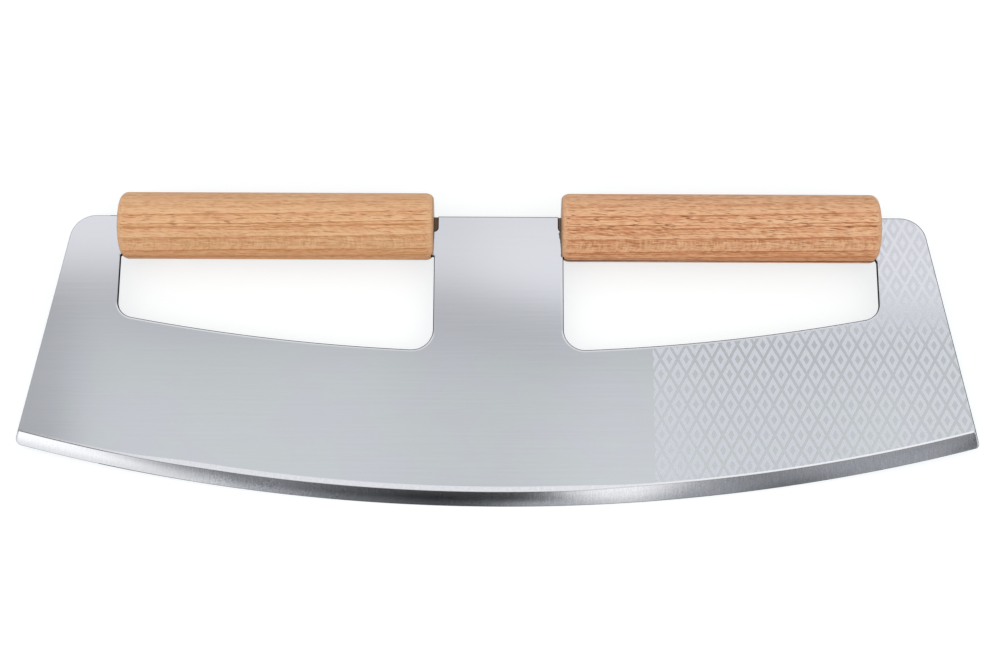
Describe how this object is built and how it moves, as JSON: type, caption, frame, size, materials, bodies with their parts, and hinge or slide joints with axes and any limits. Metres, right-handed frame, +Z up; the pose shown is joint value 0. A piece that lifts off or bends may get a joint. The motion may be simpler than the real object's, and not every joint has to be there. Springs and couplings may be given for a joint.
{
  "type": "pizza rocker knife",
  "caption": "Wide curved rocker blade cut from one steel sheet, with finger openings below round wooden handles and a straight centre strut.",
  "frame": {"origin": "middle of the footprint, on the table that the knife lies on", "axes": "+X along the blade towards its right end as the front is seen, +Y from the cutting edge towards the handles, +Z up from the table"},
  "size_m": [0.3552, 0.1206, 0.026],
  "materials": {
    "brushed_stainless": "stainless sheet brushed along its length, with a faint etched lattice on the right side of the front and a finer ground bevel",
    "oiled_beech": "turned steamed beech, oiled to a dull sheen, grain along the handle",
    "pin_steel": "plain drawn steel pin, filed flush",
    "dark_glue": "dark brown cured glue, seen in the notch at each handle's inner end"
  },
  "bodies": {
    "root": {"blade": "brushed_stainless", "left_handle": "oiled_beech", "right_handle": "oiled_beech", "left_inner_pin": "pin_steel", "left_outer_pin": "pin_steel", "right_inner_pin": "pin_steel", "right_outer_pin": "pin_steel", "left_glue": "dark_glue", "right_glue": "dark_glue"}
  },
  "joints": []
}
